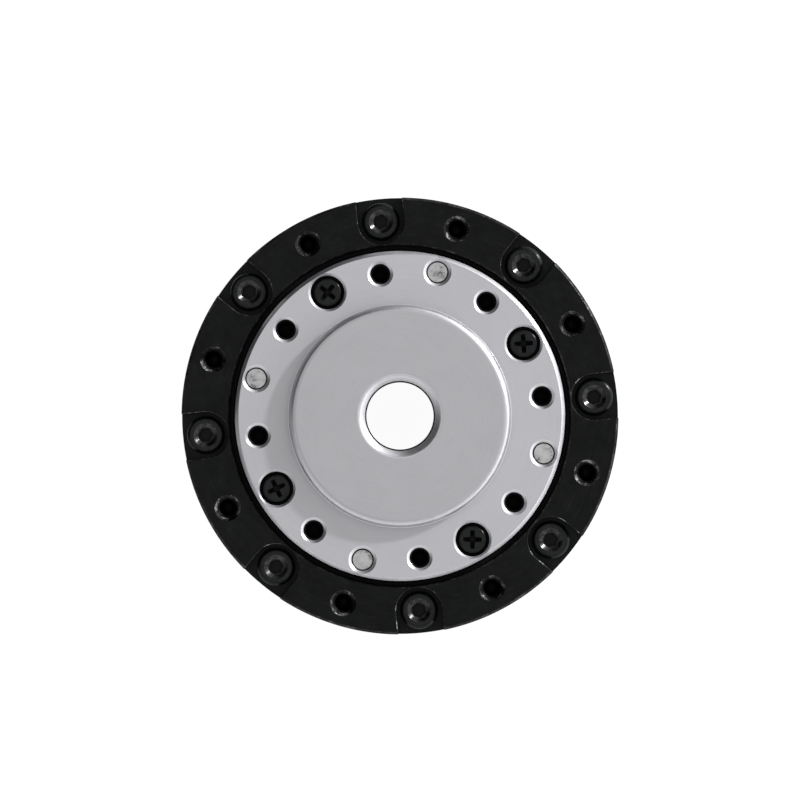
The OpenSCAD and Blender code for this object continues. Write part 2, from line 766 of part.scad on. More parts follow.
rear_cover();
ring_gear_housing();
front_ring();
housing_screws();
housing_dowels();
ring_pins();
main_bearing_outer_ring();
main_bearing_rollers();
output_seal();
input_seal();
output_flange();
flange_screws();
flange_dowels();
carrier();
output_pins();
pin_support_ring();
shaft_seal();
eccentric_shaft();
rear_spacer();
front_spacer();
cycloid_disc_a();
cycloid_disc_b();
for (b = BEARINGS) {
    translate(b[2]) inner_ring(b[1]);
    translate(b[2]) outer_ring(b[1]);
    translate(b[2]) balls(b[1]);
    translate(b[2]) cage(b[1]);
}
for (i = [1 : output_pin_count])
    output_roller(i);
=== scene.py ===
import json
from math import atan2, cos, degrees, hypot, pi, radians, sin, tan

import bmesh
import bpy
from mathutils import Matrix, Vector


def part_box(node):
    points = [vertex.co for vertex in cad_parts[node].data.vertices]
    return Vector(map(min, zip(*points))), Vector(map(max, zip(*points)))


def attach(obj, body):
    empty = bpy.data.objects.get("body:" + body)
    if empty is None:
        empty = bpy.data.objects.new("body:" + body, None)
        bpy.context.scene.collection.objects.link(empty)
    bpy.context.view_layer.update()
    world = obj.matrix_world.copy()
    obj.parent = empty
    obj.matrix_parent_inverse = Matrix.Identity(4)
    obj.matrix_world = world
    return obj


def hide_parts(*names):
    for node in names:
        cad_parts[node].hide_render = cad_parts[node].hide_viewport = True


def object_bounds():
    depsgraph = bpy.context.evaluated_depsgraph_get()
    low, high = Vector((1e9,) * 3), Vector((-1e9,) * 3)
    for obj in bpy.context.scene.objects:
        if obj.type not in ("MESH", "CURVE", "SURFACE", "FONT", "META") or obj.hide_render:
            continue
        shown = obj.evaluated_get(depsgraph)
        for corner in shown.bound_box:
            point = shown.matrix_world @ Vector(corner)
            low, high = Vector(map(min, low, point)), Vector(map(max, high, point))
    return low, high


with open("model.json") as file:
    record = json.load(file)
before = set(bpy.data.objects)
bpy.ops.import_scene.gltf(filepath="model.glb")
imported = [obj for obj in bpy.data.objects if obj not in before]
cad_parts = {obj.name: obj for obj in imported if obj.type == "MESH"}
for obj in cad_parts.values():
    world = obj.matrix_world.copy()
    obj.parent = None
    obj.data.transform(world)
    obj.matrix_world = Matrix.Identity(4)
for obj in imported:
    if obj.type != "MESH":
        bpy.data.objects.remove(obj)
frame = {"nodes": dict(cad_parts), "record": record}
cad_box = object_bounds()

MM = 0.001
AROUND = 256          # steps in a large turned piece
SCREWS = 8            # housing screws, and tapped holes between them
ODD_TURN = 1.9        # keeps the corners of a hole off the spokes of the piece that it is cut from

# Sizes are in millimetres and angles in degrees.
RIM = cad_box[1].x / MM
REAR_JOINT = 7.5      # between rear cover and ring gear housing
FRONT_JOINT = 21.9    # between ring gear housing and front ring
RING_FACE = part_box("front_ring")[1].z / MM
POCKET_FLOOR = 29.4
FLANGE_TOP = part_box("output_flange")[1].z / MM
BOSS_RISE = 2.3
FLANGE_FACE = FLANGE_TOP - BOSS_RISE
SCREW_SEAT = 31.1     # floor of the flange's counterbores
PILOT_FLOOR = 2.0     # floor of the motor's recess in the rear cover
BORE_R = 5.25
TAP_R = 1.55          # M3 tapped hole
SCREW_HOLE_R = 1.7    # room for an M3 screw
PIN_HOLE_R = 1.52
DOWEL_HOLE_R = 1.02   # dowels between the housing's rings
BOLT_CIRCLE = 29.5
FLANGE_CIRCLE = 21.6
DOWEL_CIRCLE = 22.4
PIN_CIRCLE = 18.0
REAR_CIRCLE = 28.0
MOTOR_CIRCLE = 16.5
HOUSING_DOWEL_START = 11.25
TAPPED_START = 2.3    # from the first housing screw to the flange's first tapped hole
SCREW_START = TAPPED_START + 22.5
DOWEL_START = TAPPED_START + 67.5
PIN_START = TAPPED_START + 11.25


# ---------- node wiring ----------

class Wiring:
    """A node tree that is wired up node by node."""

    def __init__(self, tree):
        self.tree = tree

    def node(self, kind, **settings):
        made = self.tree.nodes.new(kind)
        for key, value in settings.items():
            setattr(made, key, value)
        return made

    def link(self, a, b):
        self.tree.links.new(a, b)

    def math(self, operation, a, b):
        made = self.node("ShaderNodeMath", operation=operation)
        for socket, value in zip(made.inputs, (a, b)):
            if isinstance(value, (int, float)):
                socket.default_value = value
            else:
                self.link(value, socket)
        return made.outputs[0]

    def span(self, value, low_in, high_in, low, high, curve="LINEAR"):
        """Carries a value from one range to another."""
        made = self.node("ShaderNodeMapRange", interpolation_type=curve)
        for key, v in (("From Min", low_in), ("From Max", high_in), ("To Min", low), ("To Max", high)):
            made.inputs[key].default_value = v
        self.link(value, made.inputs["Value"])
        return made.outputs["Result"]

    def fade(self, value, low_in, high_in, low, high):
        """As span, with a soft start and end."""
        return self.span(value, low_in, high_in, low, high, curve="SMOOTHSTEP")

    def seen_directly(self, rays):
        """Is 1 for what the camera sees, also through glass."""
        return self.math("MAXIMUM", rays.outputs["Is Camera Ray"], rays.outputs["Is Transmission Ray"])


# ---------- camera, light and floor ----------

def look_straight_down():
    bpy.ops.object.camera_add(location=(0, 0, 0.832), rotation=(0, 0, radians(-5.6)))
    camera = bpy.context.object
    camera.data.sensor_width = 36
    camera.data.lens = 238.5
    camera.data.shift_y = 0.02
    camera.data.clip_start = 0.01
    camera.data.clip_end = 10
    bpy.context.scene.camera = camera


def heading(azimuth, elevation):
    """A unit vector towards a direction given in degrees round and above the object."""
    a, e = radians(azimuth), radians(elevation)
    return Vector((cos(a) * cos(e), sin(a) * cos(e), sin(e)))


def soft_box(name, azimuth, elevation, distance, width, height, radiance):
    """A rectangular lamp that faces the object; its power follows from the radiance wanted."""
    place = heading(azimuth, elevation) * distance
    bpy.ops.object.light_add(type="AREA", location=place)
    lamp = bpy.context.object
    lamp.name = name
    lamp.visible_camera = False
    lamp.rotation_euler = (-place).to_track_quat("-Z", "Y").to_euler()
    lamp.data.shape = "RECTANGLE"
    lamp.data.size = width
    lamp.data.size_y = height
    lamp.data.energy = radiance * pi * width * height


def studio_world():
    """A lit ceiling, a bright window low on one side, a paler screen on another, and a dim far corner."""
    world = bpy.data.worlds.new("studio")
    bpy.context.scene.world = world
    world.use_nodes = True
    world.node_tree.nodes.clear()
    w = Wiring(world.node_tree)
    where = w.node("ShaderNodeTexCoord").outputs["Generated"]
    split = w.node("ShaderNodeSeparateXYZ")
    w.link(where, split.inputs["Vector"])
    up = split.outputs["Z"]

    def panel(azimuth, edge, full, strength, level, top, elevation=12):
        """A patch of light: gone and full at two cosines from its middle, fading between two heights."""
        towards = w.node("ShaderNodeVectorMath", operation="DOT_PRODUCT")
        towards.inputs[1].default_value = heading(azimuth, elevation)
        w.link(where, towards.inputs[0])
        patch = w.fade(towards.outputs["Value"], edge, full, 0, strength)
        return w.math("MULTIPLY", patch, w.fade(up, level, top, 1, 0))

    ceiling = w.fade(up, 0.45, 0.90, 0.0, 1.05)
    window = panel(14, 0.087, 0.906, 2.5, 0.20, 0.75)
    screen = panel(256, -0.05, 0.95, 1.35, 0.35, 0.75)
    room = w.node("ShaderNodeBackground")
    w.link(w.math("ADD", w.math("ADD", ceiling, window), screen), room.inputs["Strength"])
    seen = w.node("ShaderNodeBackground")
    for background in (room, seen):
        background.inputs["Color"].default_value = (1, 1, 1, 1)
    mix = w.node("ShaderNodeMixShader")
    w.link(w.seen_directly(w.node("ShaderNodeLightPath")), mix.inputs["Fac"])
    w.link(room.outputs["Background"], mix.inputs[1])
    w.link(seen.outputs["Background"], mix.inputs[2])
    out = w.node("ShaderNodeOutputWorld")
    w.link(mix.outputs["Shader"], out.inputs["Surface"])


def pale_floor():
    """A plain floor that looks white, and that metal mirrors only close to the object."""
    bpy.ops.mesh.primitive_plane_add(size=6, location=(0, 0, -0.00002))
    floor = bpy.context.object
    floor.name = "floor"
    bpy.ops.object.mode_set(mode="EDIT")
    bpy.ops.mesh.subdivide(number_cuts=3)
    bpy.ops.object.mode_set(mode="OBJECT")
    bpy.ops.object.transform_apply(location=True, rotation=True, scale=True)
    material = bpy.data.materials.new("pale_floor")
    material.use_nodes = True
    material.node_tree.nodes.clear()
    w = Wiring(material.node_tree)
    board = w.node("ShaderNodeBsdfDiffuse")
    board.inputs["Color"].default_value = (0.10, 0.10, 0.10, 1)
    glow = w.node("ShaderNodeEmission")
    glow.inputs["Color"].default_value = (1, 1, 1, 1)
    away = w.node("ShaderNodeVectorMath", operation="LENGTH")
    w.link(w.node("ShaderNodeTexCoord").outputs["Object"], away.inputs[0])
    nearby = w.fade(away.outputs["Value"], 0.15, 0.45, 1, 0)
    rays = w.node("ShaderNodeLightPath")
    mirrored = w.math("MULTIPLY", rays.outputs["Is Glossy Ray"], nearby)
    lit = w.math("MAXIMUM", w.seen_directly(rays), mirrored)
    w.link(w.math("MULTIPLY", lit, 0.95), glow.inputs["Strength"])
    both = w.node("ShaderNodeAddShader")
    w.link(board.outputs[0], both.inputs[0])
    w.link(glow.outputs[0], both.inputs[1])
    out = w.node("ShaderNodeOutputMaterial")
    w.link(both.outputs[0], out.inputs["Surface"])
    floor.data.materials.append(material)


look_straight_down()
studio_world()
pale_floor()
soft_box("lamp", 29, 24.7, 0.80, 0.055, 0.055, 560)


# ---------- materials ----------

class Finish(Wiring):
    """A principled material whose pattern is built up step by step."""

    def __init__(self, name, **sockets):
        self.material = bpy.data.materials.new(name)
        self.material.use_nodes = True
        super().__init__(self.material.node_tree)
        self.shader = self.tree.nodes["Principled BSDF"]
        for key, value in sockets.items():
            self.shader.inputs[key.replace("_", " ")].default_value = value
        self.where = self.node("ShaderNodeTexCoord").outputs["Object"]

    def turning(self, along=6.0, across=1.0):
        """Coordinates in which a pattern runs round the axis: long along the cut, fine across it."""
        flat = self.node("ShaderNodeVectorMath", operation="MULTIPLY")
        flat.inputs[1].default_value = (1, 1, 0)
        self.link(self.where, flat.inputs[0])
        outward = self.node("ShaderNodeVectorMath", operation="NORMALIZE")
        self.link(flat.outputs[0], outward.inputs[0])
        far = self.node("ShaderNodeVectorMath", operation="LENGTH")
        self.link(flat.outputs[0], far.inputs[0])
        high = self.node("ShaderNodeSeparateXYZ")
        self.link(self.where, high.inputs[0])
        feed = self.math("ADD", far.outputs["Value"], high.outputs["Z"])
        feed = self.math("MULTIPLY", feed, across / MM)
        lift = self.node("ShaderNodeCombineXYZ")
        self.link(feed, lift.inputs["Z"])
        long = self.node("ShaderNodeVectorMath", operation="SCALE")
        long.inputs["Scale"].default_value = along
        self.link(outward.outputs[0], long.inputs[0])
        total = self.node("ShaderNodeVectorMath", operation="ADD")
        self.link(long.outputs[0], total.inputs[0])
        self.link(lift.outputs[0], total.inputs[1])
        return total.outputs[0]

    def noise(self, where, scale, detail=3, roughness=0.6):
        made = self.node("ShaderNodeTexNoise")
        made.inputs["Scale"].default_value = scale
        made.inputs["Detail"].default_value = detail
        made.inputs["Roughness"].default_value = roughness
        self.link(where, made.inputs["Vector"])
        return made.outputs["Fac"]

    def colours(self, value, *stops):
        ramp = self.node("ShaderNodeValToRGB")
        points = ramp.color_ramp.elements
        while len(points) < len(stops):
            points.new(0.5)
        for point, (at, colour) in zip(points, stops):
            point.position = at
            point.color = (*colour, 1)
        self.link(value, ramp.inputs["Fac"])
        return ramp.outputs["Color"]

    def spread(self, value, low, high):
        """Carries the middle of a noise's range to the range from low to high."""
        return self.span(value, 0.3, 0.7, low, high)

    def blend_colours(self, kind, amount, a, b):
        made = self.node("ShaderNodeMix", data_type="RGBA", blend_type=kind)
        made.inputs["Factor"].default_value = amount
        self.link(a, made.inputs["A"])
        self.link(b, made.inputs["B"])
        return made.outputs["Result"]

    def colour(self, value):
        self.link(value, self.shader.inputs["Base Color"])
        return self

    def roughness(self, value):
        self.link(value, self.shader.inputs["Roughness"])
        return self

    def relief(self, height, depth_mm, strength):
        bump = self.node("ShaderNodeBump")
        bump.inputs["Distance"].default_value = depth_mm * MM
        bump.inputs["Strength"].default_value = strength
        self.link(height, bump.inputs["Height"])
        self.link(bump.outputs["Normal"], self.shader.inputs["Normal"])
        return self


def grey(v, tint=0.0):
    """A grey, bluer by the tint."""
    return (v * (1 - tint), v, v * (1 + tint))


def cool(v):
    """The faintly blue grey of bare aluminium."""
    return (v, v * 0.998, v * 1.045)


def satin_aluminium(name="satin_aluminium", tone=1.0):
    f = Finish(name, Metallic=0.45, Specular_IOR_Level=0.4)
    lines = f.noise(f.turning(4, 9), 1.0, 4, 0.65)
    clouds = f.noise(f.where, 160, 3)
    grain = f.noise(f.where, 5200, 2)
    base = f.colours(lines, (0.25, cool(0.385 * tone)), (0.75, cool(0.435 * tone)))
    cloudy = f.colours(clouds, (0.3, grey(0.93)), (0.7, grey(1.0)))
    f.colour(f.blend_colours("MULTIPLY", 0.6, base, cloudy))
    f.roughness(f.spread(lines, 0.46, 0.58))
    return f.relief(f.math("ADD", lines, grain), 0.004, 0.35).material


def bright_edge():
    f = Finish("bright_edge", Metallic=0.95)
    nicks = f.noise(f.where, 900, 3, 0.6)
    f.colour(f.colours(nicks, (0.3, cool(0.50)), (0.7, cool(0.56))))
    f.roughness(f.spread(nicks, 0.34, 0.38))
    return f.material


def black_anodised():
    f = Finish("black_anodised", Metallic=0.9, Specular_IOR_Level=0.15)
    lines = f.noise(f.turning(5, 7), 1.0, 4, 0.7)
    rubs = f.noise(f.turning(14, 2.2), 1.0, 5, 0.72)
    clouds = f.noise(f.where, 420, 5, 0.65)
    base = f.colours(lines, (0.3, grey(0.0085, 0.03)), (0.7, grey(0.0125, 0.03)))
    rubbed = f.colours(rubs, (0.54, grey(0.0)), (0.76, grey(0.010)))
    cloudy = f.colours(clouds, (0.32, grey(0.62)), (0.66, grey(1.0)))
    both = f.blend_colours("ADD", 0.7, base, rubbed)
    f.colour(f.blend_colours("MULTIPLY", 0.8, both, cloudy))
    f.roughness(f.spread(rubs, 0.34, 0.44))
    return f.relief(f.math("ADD", lines, rubs), 0.003, 0.3).material


def worn_edge(name, film, thin, bare):
    """Anodising that has rubbed thin along an edge, and through in spots."""
    f = Finish(name, Metallic=0.95)
    wear = f.noise(f.where, 700, 5, 0.75)
    f.colour(f.colours(wear, (0.40, grey(film)), (0.53, grey(thin)), (0.68, grey(bare))))
    f.roughness(f.spread(wear, 0.22, 0.36))
    return f.relief(wear, 0.006, 0.3).material


# Painted shade: a near-black colour for the insides of holes, sockets, recesses and the gaps round dowels,
# standing in for the shade that falls in them.
def painted_hole_shade():
    f = Finish("painted_hole_shade", Metallic=0.2, Specular_IOR_Level=0.1)
    shade_mottle = f.noise(f.where, 1800, 3, 0.6)
    f.colour(f.colours(shade_mottle, (0.3, grey(0.002)), (0.7, grey(0.008))))
    f.roughness(f.spread(shade_mottle, 0.36, 0.52))
    return f.relief(shade_mottle, 0.006, 0.3).material


# Painted shade: a dark colour that reflects nothing, for the walls of the bore, standing in for the shade
# down the bore.
def painted_bore_shade():
    f = Finish("painted_bore_shade", Metallic=0.0, Specular_IOR_Level=0.0)
    shade_lines = f.noise(f.turning(3, 5), 1.0, 4, 0.65)
    f.colour(f.colours(shade_lines, (0.3, grey(0.05)), (0.7, grey(0.11))))
    f.roughness(f.spread(shade_lines, 0.75, 0.92))
    return f.relief(shade_lines, 0.005, 0.3).material


def black_oxide():
    f = Finish("black_oxide", Metallic=0.85, Specular_IOR_Level=0.5)
    film = f.noise(f.where, 1500, 4, 0.65)
    clouds = f.noise(f.where, 420, 2)
    base = f.colours(film, (0.3, grey(0.010, 0.04)), (0.7, grey(0.019, 0.04)))
    cloudy = f.colours(clouds, (0.3, grey(0.7)), (0.7, grey(1.0)))
    f.colour(f.blend_colours("MULTIPLY", 0.7, base, cloudy))
    f.roughness(f.spread(film, 0.20, 0.30))
    return f.relief(film, 0.006, 0.3).material


def bare_socket_edge():
    f = Finish("bare_socket_edge", Metallic=0.95)
    wear = f.noise(f.where, 1300, 4, 0.7)
    f.colour(f.colours(wear, (0.38, grey(0.014)), (0.66, grey(0.060))))
    f.roughness(f.spread(wear, 0.16, 0.26))
    return f.relief(wear, 0.006, 0.3).material


def ground_steel():
    f = Finish("ground_steel", Metallic=0.85)
    blots = f.noise(f.where, 650, 5, 0.7)
    grain = f.noise(f.where, 5200, 2)
    f.colour(f.colours(blots, (0.36, grey(0.13)), (0.47, grey(0.36)), (0.64, grey(0.45))))
    f.roughness(f.spread(blots, 0.28, 0.42))
    return f.relief(grain, 0.006, 0.35).material


def turned_steel(name, dark, light, rough):
    f = Finish(name, Metallic=1.0)
    lines = f.noise(f.turning(5, 8), 1.0, 4, 0.65)
    clouds = f.noise(f.where, 300, 3)
    base = f.colours(lines, (0.25, dark), (0.75, light))
    cloudy = f.colours(clouds, (0.3, grey(0.85)), (0.7, grey(1.0)))
    f.colour(f.blend_colours("MULTIPLY", 0.6, base, cloudy))
    f.roughness(f.spread(lines, rough - 0.05, rough + 0.07))
    return f.relief(lines, 0.004, 0.3).material


# Black rubber, its colour and reflection painted darker than rubber's, as painted shade in the gaps where
# the seals sit.
def seal_rubber():
    f = Finish("seal_rubber", Metallic=0.0, Specular_IOR_Level=0.08)
    bloom = f.noise(f.where, 900, 4, 0.6)
    f.colour(f.colours(bloom, (0.3, grey(0.002)), (0.7, grey(0.005))))
    f.roughness(f.spread(bloom, 0.50, 0.68))
    return f.relief(bloom, 0.01, 0.4).material


ALUMINIUM = satin_aluminium()
BOSS_FACE = satin_aluminium("boss_face", 0.88)
BRIGHT_EDGE = bright_edge()
ANODISED = black_anodised()
RIM_EDGE = worn_edge("rim_edge", 0.014, 0.030, 0.10)
WORN_MOUTH = worn_edge("worn_mouth", 0.015, 0.045, 0.50)
PAINTED_HOLE_SHADE = painted_hole_shade()
PAINTED_BORE_SHADE = painted_bore_shade()
OXIDE = black_oxide()
SOCKET_EDGE = bare_socket_edge()
STEEL = ground_steel()
RUBBER = seal_rubber()
FINISHES = {
    "housing_black": ANODISED,
    "flange_aluminium": ALUMINIUM,
    "black_oxide": OXIDE,
    "ground_steel": STEEL,
    "bearing_steel": turned_steel("bearing_steel", grey(0.48), grey(0.60), 0.16),
    "machined_steel": turned_steel("machined_steel", grey(0.36), grey(0.48), 0.30),
    "hardened_steel": turned_steel("hardened_steel", grey(0.30), grey(0.42), 0.24),
    "roller_bronze": turned_steel("roller_bronze", (0.36, 0.20, 0.07), (0.50, 0.30, 0.11), 0.26),
    "cage_brass": turned_steel("cage_brass", (0.48, 0.33, 0.09), (0.62, 0.45, 0.15), 0.28),
    "seal_rubber": RUBBER,
}


# ---------- tools of the bench ----------

def clear_selection():
    if bpy.context.object and bpy.context.object.mode != "OBJECT":
        bpy.ops.object.mode_set(mode="OBJECT")
    bpy.ops.object.select_all(action="DESELECT")


def choose(*objects):
    clear_selection()
    for obj in objects:
        obj.select_set(True)
    bpy.context.view_layer.objects.active = objects[0]


def rounded(corners):
    """Corners are (x, y) or (x, y, radius). A small radius becomes an arc of 3 steps, a large one of 10."""
    points = []
    for i, corner in enumerate(corners):
        here = Vector(corner[:2])
        if len(corner) == 2:
            points.append(here)
            continue
        before = (Vector(corners[i - 1][:2]) - here).normalized()
        after = (Vector(corners[(i + 1) % len(corners)][:2]) - here).normalized()
        half = before.angle(after) / 2
        back = corner[2] / tan(half)
        centre = here + (before + after).normalized() * corner[2] / sin(half)
        start, end = here + before * back - centre, here + after * back - centre
        steps = 3 if corner[2] < 0.5 else 10
        for k in range(steps + 1):
            points.append(centre + start.slerp(end, k / steps).normalized() * corner[2])
    return points


def outline(name, points, upright=True):
    """A closed outline drawn from one vertex, point by point: upright for turning, else flat."""
    def place(p):
        return Vector((p[0], 0, p[1])) * MM if upright else Vector((p[0], p[1], 0)) * MM
    clear_selection()
    bpy.ops.mesh.primitive_plane_add(size=MM)
    obj = bpy.context.object
    obj.name = name
    bpy.ops.object.mode_set(mode="EDIT")
    bpy.ops.mesh.select_all(action="SELECT")
    bpy.ops.mesh.merge(type="CENTER")
    bpy.ops.transform.translate(value=place(points[0]))
    for a, b in zip(points, points[1:]):
        bpy.ops.mesh.extrude_region_move(TRANSFORM_OT_translate={"value": place(b) - place(a)})
    mesh = bmesh.from_edit_mesh(obj.data)
    for v in mesh.verts:
        v.select = len(v.link_edges) < 2
    mesh.select_flush_mode()
    bpy.ops.mesh.edge_face_add()
    return obj


def turned(name, corners, steps=AROUND):
    """A closed solid of revolution about the main axis."""
    obj = outline(name, rounded(corners))
    bpy.ops.mesh.select_all(action="SELECT")
    bpy.ops.mesh.spin(steps=steps, angle=2 * pi, use_auto_merge=True, center=(0, 0, 0), axis=(0, 0, 1))
    close_up()
    return obj


def close_up():
    """Merges doubles and turns every face outwards, then leaves edit mode."""
    bpy.ops.mesh.select_all(action="SELECT")
    bpy.ops.mesh.remove_doubles(threshold=5e-7)
    bpy.ops.mesh.delete_loose()
    bpy.ops.mesh.select_all(action="SELECT")
    bpy.ops.mesh.normals_make_consistent(inside=False)
    bpy.ops.object.mode_set(mode="OBJECT")


def slab(name, points, low, high, flare=0.0, about=(0, 0), grow=1.0):
    """A flat outline raised from low to high, its last flare millimetres spreading by grow about a point."""
    obj = outline(name, points, upright=False)
    bpy.ops.mesh.select_all(action="SELECT")
    bpy.ops.mesh.edge_face_add()
    bpy.ops.transform.translate(value=(0, 0, low * MM))
    bpy.ops.mesh.extrude_region_move(TRANSFORM_OT_translate={"value": (0, 0, (high - flare - low) * MM)})
    if flare:
        middle = (about[0] * MM, about[1] * MM, high * MM)
        for rise in (flare, 0.5):
            bpy.ops.mesh.extrude_region_move(TRANSFORM_OT_translate={"value": (0, 0, rise * MM)})
            factor = grow if rise == flare else 1.0
            bpy.ops.transform.resize(value=(factor, factor, 1), center_override=middle)
    close_up()
    return obj


def moved(obj, x=0.0, turn=0.0):
    """Turns a piece about the main axis and then shifts it in millimetres. Both go into its mesh."""
    choose(obj)
    if turn:
        bpy.ops.transform.rotate(value=radians(turn), orient_axis="Z", center_override=(0, 0, 0))
    bpy.ops.transform.translate(value=(x * MM, 0, 0))
    bpy.ops.object.transform_apply(location=True, rotation=True, scale=True)
    return obj


def copies(obj, count, circle, start=0.0, z=0.0, turns=None):
    """Sets count copies of a piece round the axis, each with its own mesh, joined into one object."""
    made = []
    for k in range(count):
        angle = radians(start + k * 360 / count)
        twin = obj.copy()
        twin.data = obj.data.copy()
        bpy.context.scene.collection.objects.link(twin)
        own = turns[k] if turns else degrees(angle)
        twin.rotation_euler = (0, 0, radians(own))
        twin.location = (circle * cos(angle) * MM, circle * sin(angle) * MM, z * MM)
        made.append(twin)
    choose(*made)
    bpy.ops.object.transform_apply(location=True, rotation=True, scale=True)
    if count > 1:
        bpy.ops.object.join()
    joined = bpy.context.object
    joined.name = obj.name
    bpy.data.objects.remove(obj)
    return joined


def combine(obj, other, operation="DIFFERENCE"):
    """Cuts, joins or keeps what two pieces share. The second piece is used up."""
    choose(obj)
    bpy.ops.object.modifier_add(type="BOOLEAN")
    modifier = obj.modifiers[-1]
    modifier.operation = operation
    modifier.solver = "EXACT"
    modifier.object = other
    bpy.ops.object.modifier_apply(modifier=modifier.name)
    bpy.data.objects.remove(other)


def weld(obj):
    """Merges corners that a cut left on top of each other, which takes out faces without area."""
    choose(obj)
    bpy.ops.object.mode_set(mode="EDIT")
    close_up()


def smooth(obj, angle=28):
    """Smooth shading up to a crease angle, led by the large faces so that flats stay flat."""
    choose(obj)
    bpy.ops.object.shade_smooth_by_angle(angle=radians(angle))
    bpy.ops.object.modifier_add(type="WEIGHTED_NORMAL")
    modifier = obj.modifiers[-1]
    modifier.keep_sharp = True
    modifier.weight = 90
    bpy.ops.object.modifier_apply(modifier=modifier.name)


def dress(obj, node, body, slot, finish, *places):
    """Gives a piece its finish, and others where a test picks faces. Then the piece stands for its node."""
    smooth(obj)
    obj.data.materials.clear()
    obj.data.materials.append(finish)
    for material, _ in places:
        obj.data.materials.append(material)
    for face in obj.data.polygons:
        face.material_index = 0
        for index, (_, test) in enumerate(places, 1):
            if test(face):
                face.material_index = index
    obj.name = obj.data.name = node + "_finished"
    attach(obj, body)
    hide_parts(node)


def sloping(face):
    """Whether a face is part of a bevel or a rounding, and neither flat nor upright."""
    return 0.25 < abs(face.normal.z) < 0.97


def height_of(face):
    """A face's height, in millimetres."""
    return face.center.z / MM


def reach_of(face):
    """How far a face lies from the main axis, in millimetres."""
    return hypot(face.center.x, face.center.y) / MM


def off_hole(face, count, circle, start=0.0):
    """How far a face lies from the nearest axis in a ring of holes or screws, in millimetres."""
    pitch = 360 / count
    x, y = face.center.x / MM, face.center.y / MM
    angle = radians(start + round((degrees(atan2(y, x)) - start) / pitch) * pitch)
    return hypot(x - circle * cos(angle), y - circle * sin(angle))


def in_the_bore(face):
    return reach_of(face) < BORE_R + 0.05


def thread(name, r, depth, chamfer, slope=1.0, pitch=0.5, steps=40, tip=0.6):
    """A tapped hole's room below z = 0: chamfered mouth, thread grooves and a drill's cone."""
    crest = r - 0.28
    rise = chamfer * slope
    corners = [(0, 0.4), (r + chamfer + 0.4 / slope, 0.4), (r, -rise)]
    z = -rise - 0.08
    while z > -depth + pitch:
        corners += [(crest, z - pitch * 0.38), (crest, z - pitch * 0.5), (r, z - pitch * 0.88)]
        z -= pitch
    corners += [(crest, -depth), (0, -depth - crest * tip)]
    return moved(turned(name, corners, steps), turn=ODD_TURN)


def bore(name, r, low, high, steps=48):
    """A plain hole's room."""
    return moved(turned(name, [(0, low), (r, low), (r, high), (0, high)], steps), turn=ODD_TURN)


# ---------- front ring ----------

def make_front_ring():
    bevel, lip, lip_bevel = 0.36, 25.8, 0.22
    ring = turned("front_ring", [
        (27.02, FRONT_JOINT), (RIM, FRONT_JOINT, 0.15), (RIM, RING_FACE - bevel, 0.05),
        (RIM - bevel, RING_FACE, 0.05), (lip + lip_bevel, RING_FACE, 0.04),
        (lip, RING_FACE - lip_bevel, 0.04), (lip, 28.1, 0.1), (27.02, 28.1)])
    r, edge = 3.5, 0.10
    arc = [(BOLT_CIRCLE + r * cos(radians(a)), r * sin(radians(a))) for a in range(90, 271, 6)]
    pocket = slab("pocket", arc + [(RIM + 3, -r), (RIM + 3, r)], POCKET_FLOOR, RING_FACE,
                  flare=edge, about=(BOLT_CIRCLE, 0), grow=(r + edge) / r)
    combine(ring, copies(pocket, SCREWS, 0))
    combine(ring, copies(bore("screw_hole", SCREW_HOLE_R, 21, 30), SCREWS, BOLT_CIRCLE))
    combine(ring, copies(thread("tapped", TAP_R, 7, 0.42), SCREWS, BOLT_CIRCLE, 22.5, RING_FACE))

    def front_edge(face):
        return sloping(face) and height_of(face) > RING_FACE - 0.5

    dress(ring, "front_ring", "housing", "housing_black", ANODISED,
          (RIM_EDGE, front_edge),
          (WORN_MOUTH, lambda f: front_edge(f) and 27.0 < reach_of(f) < RIM - 0.5))


# ---------- housing screws ----------

def make_housing_screws():
    head_r, height, mouth_r, cone = 2.85, 1.65, 1.80, 0.37
    screw = turned("housing_screw", [
        (0, height - cone), (1.2, height - cone), (mouth_r, height), (2.10, height - 0.035),
        (2.32, height - 0.09), (2.48, height - 0.16), (2.74, height - 0.325), (2.82, height - 0.44),
        (head_r, height - 0.58), (head_r, 0, 0.08), (1.5, 0), (1.5, -24.8), (1.3, -25), (0, -25)], 72)
    corner = 1.0 / cos(radians(30))
    hexagon = [(corner * cos(radians(60 * k)), corner * sin(radians(60 * k))) for k in range(6)]
    combine(screw, slab("socket", hexagon, 0.45, height + 0.5))
    weld(screw)
    screws = copies(screw, SCREWS, BOLT_CIRCLE, z=POCKET_FLOOR, turns=(12, 41, 77, 25, 58, 3, 35, 66))
    cone_foot = POCKET_FLOOR + height - cone
    dress(screws, "housing_screws", "housing", "black_oxide", OXIDE,
          (SOCKET_EDGE, lambda f: sloping(f) and height_of(f) > cone_foot
              and off_hole(f, SCREWS, BOLT_CIRCLE) < mouth_r),
          # painted shade inside the hexagon socket
          (PAINTED_HOLE_SHADE, lambda f: off_hole(f, SCREWS, BOLT_CIRCLE) < 1.2
              and POCKET_FLOOR < height_of(f) < cone_foot - 0.02))


# ---------- output flange ----------

